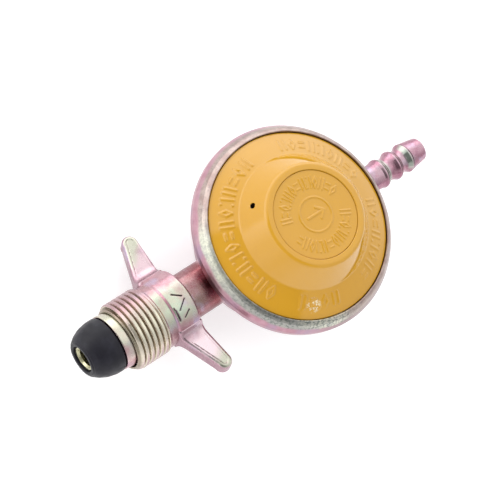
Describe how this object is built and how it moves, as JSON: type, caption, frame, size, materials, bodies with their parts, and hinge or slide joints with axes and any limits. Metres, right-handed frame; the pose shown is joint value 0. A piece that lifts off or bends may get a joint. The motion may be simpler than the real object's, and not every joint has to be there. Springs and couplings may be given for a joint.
{
  "type": "gas regulator",
  "caption": "Round low-pressure gas regulator with a domed cover, a wing nut on a soft-nosed inlet and a barbed hose outlet.",
  "frame": {"origin": "centre of the casing's flat back face, on the axis of the round cover", "axes": "+X along the gas pipe from inlet to outlet, +Z out of the cover, so the regulator lies on its back face"},
  "size_m": [0.139, 0.0666, 0.0423],
  "materials": {
    "plated_casting": "satin",
    "plated_steel": "satin",
    "golden_paint": "gloss",
    "zinc": "satin",
    "steel": "satin",
    "spring_steel": "satin",
    "brass": "satin",
    "nose_rubber": "satin",
    "sheet_rubber": "matte",
    "fibre": "matte"
  },
  "bodies": {
    "casing": {"casing": "plated_casting", "cover": "golden_paint", "sealing_cap": "golden_paint", "outlet_nozzle": "plated_steel", "outlet_washer": "fibre", "inlet_stem": "plated_steel", "stem_gasket": "fibre", "inlet_filter": "brass", "nose_seal": "nose_rubber", "orifice_nozzle": "brass", "lever_pin": "steel", "diaphragm": "sheet_rubber", "main_spring": "spring_steel"},
    "nut_carrier": {"slip_washer": "steel"},
    "nut": {"wing_nut": "plated_steel"},
    "diaphragm_centre": {"diaphragm_plate": "zinc", "diaphragm_washer": "zinc", "stem_nut": "brass", "diaphragm_stem": "brass"},
    "valve_lever": {"lever": "steel"},
    "valve": {"valve_holder": "brass", "valve_pad": "sheet_rubber"},
    "spring_seat": {"upper_spring_seat": "steel"},
    "adjuster": {"adjusting_screw": "zinc"}
  },
  "joints": [
    {"name": "nut_slide", "type": "slide", "parent": "casing", "child": "nut_carrier", "axis": [1, 0, 0], "range_m": [0, 0.003]},
    {"name": "nut_spin", "type": "hinge", "parent": "nut_carrier", "child": "nut", "pos_m": [-0.064, 0, 0.013], "axis": [1, 0, 0], "continuous": true},
    {"name": "diaphragm_lift", "type": "slide", "parent": "casing", "child": "diaphragm_centre", "axis": [0, 0, 1], "range_m": [0, 0.0024], "stiffness_N_per_m": 800, "springref_m": -0.0055, "deforming": ["diaphragm", "main_spring"]},
    {"name": "lever_rock", "type": "hinge", "parent": "casing", "child": "valve_lever", "pos_m": [-0.013, 0, 0.0085], "axis": [0, 1, 0], "range_deg": [-10.7, 0]},
    {"name": "valve_travel", "type": "slide", "parent": "casing", "child": "valve", "axis": [1, 0, 0], "range_m": [-0.00084, 0]},
    {"name": "adjuster_travel", "type": "slide", "parent": "casing", "child": "spring_seat", "axis": [0, 0, 1], "range_m": [-0.002, 0.001]},
    {"name": "adjuster_turn", "type": "hinge", "parent": "spring_seat", "child": "adjuster", "pos_m": [0, 0, 0.0365], "axis": [0, 0, 1], "range_deg": [-481, 241]}
  ],
  "couplings": [
    {"joint": "lever_rock", "follows": "diaphragm_lift", "rad_per_m": -76.923},
    {"joint": "valve_travel", "follows": "diaphragm_lift", "ratio": -0.34615},
    {"joint": "adjuster_turn", "follows": "adjuster_travel", "rad_per_m": 4188.8}
  ]
}
